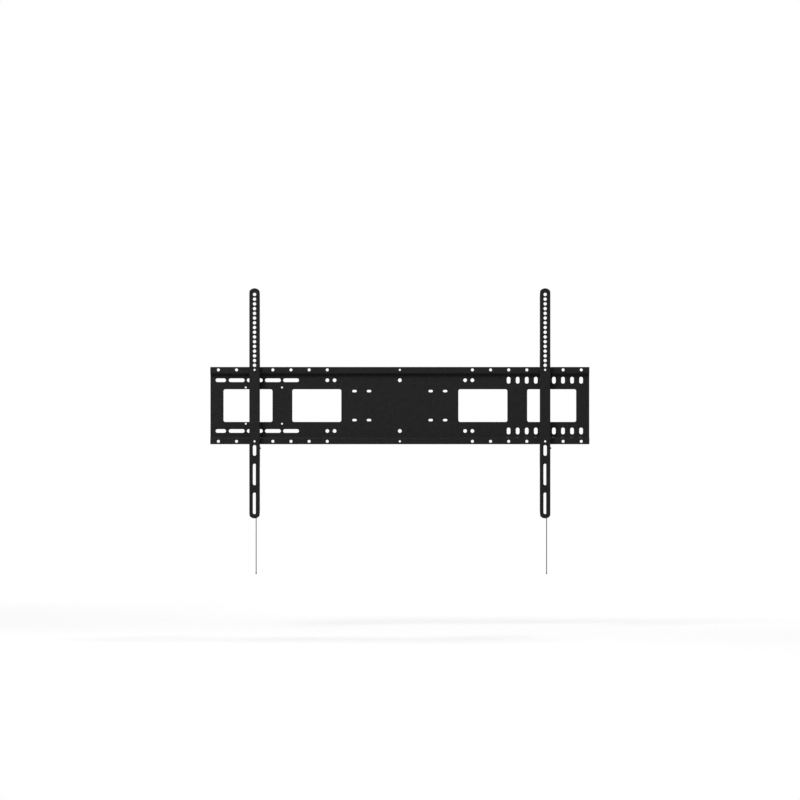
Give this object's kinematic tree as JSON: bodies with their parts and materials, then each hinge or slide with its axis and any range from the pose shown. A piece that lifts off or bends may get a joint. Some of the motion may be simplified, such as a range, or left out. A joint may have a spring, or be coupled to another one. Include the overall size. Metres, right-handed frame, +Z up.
{
  "type": "display wall mount",
  "caption": "Fixed wall mount for a large display: a folded, slotted wall plate with hook-on drilled arms, each held by a sprung latch that a hanging pull cord frees.",
  "frame": {"origin": "middle of the wall plate's back face, in the plane of the wall", "axes": "+X right seen from the room, along the plate; +Y into the wall; +Z up"},
  "size_m": [1.045, 0.04, 0.787],
  "materials": {
    "black_powder_coat": "fine-textured satin black powder coat",
    "zinc_plated_steel": "clear zinc plate",
    "blackened_steel": "black oxide",
    "spring_steel": "bright drawn wire",
    "black_cord": "braided black polyester",
    "black_crimp": "satin black moulding"
  },
  "bodies": {
    "plate": {"wall_plate": "black_powder_coat"},
    "left_arm_body": {"left_arm": "black_powder_coat", "left_guide_pins": "blackened_steel", "left_pin_clips": "blackened_steel", "left_latch_spring": "spring_steel"},
    "left_latch_body": {"left_latch": "zinc_plated_steel", "left_pull_cord": "black_cord", "left_cord_stop": "black_crimp", "left_cord_bead": "black_crimp"},
    "right_arm_body": {"right_arm": "black_powder_coat", "right_guide_pins": "blackened_steel", "right_pin_clips": "blackened_steel", "right_latch_spring": "spring_steel"},
    "right_latch_body": {"right_latch": "zinc_plated_steel", "right_pull_cord": "black_cord", "right_cord_stop": "black_crimp", "right_cord_bead": "black_crimp"}
  },
  "joints": [
    {"name": "left_arm_slide", "type": "slide", "parent": "plate", "child": "left_arm_body", "axis": [1, 0, 0], "range_m": [-0.105, 0.3]},
    {"name": "left_latch_pull", "type": "slide", "parent": "left_arm_body", "child": "left_latch_body", "axis": [0, 0, -1], "range_m": [0, 0.01], "stiffness_N_per_m": 600, "springref_m": -0.01, "deforming": ["left_latch_spring"]},
    {"name": "right_arm_slide", "type": "slide", "parent": "plate", "child": "right_arm_body", "axis": [1, 0, 0], "range_m": [-0.3, 0.105]},
    {"name": "right_latch_pull", "type": "slide", "parent": "right_arm_body", "child": "right_latch_body", "axis": [0, 0, -1], "range_m": [0, 0.01], "stiffness_N_per_m": 600, "springref_m": -0.01, "deforming": ["right_latch_spring"]}
  ]
}
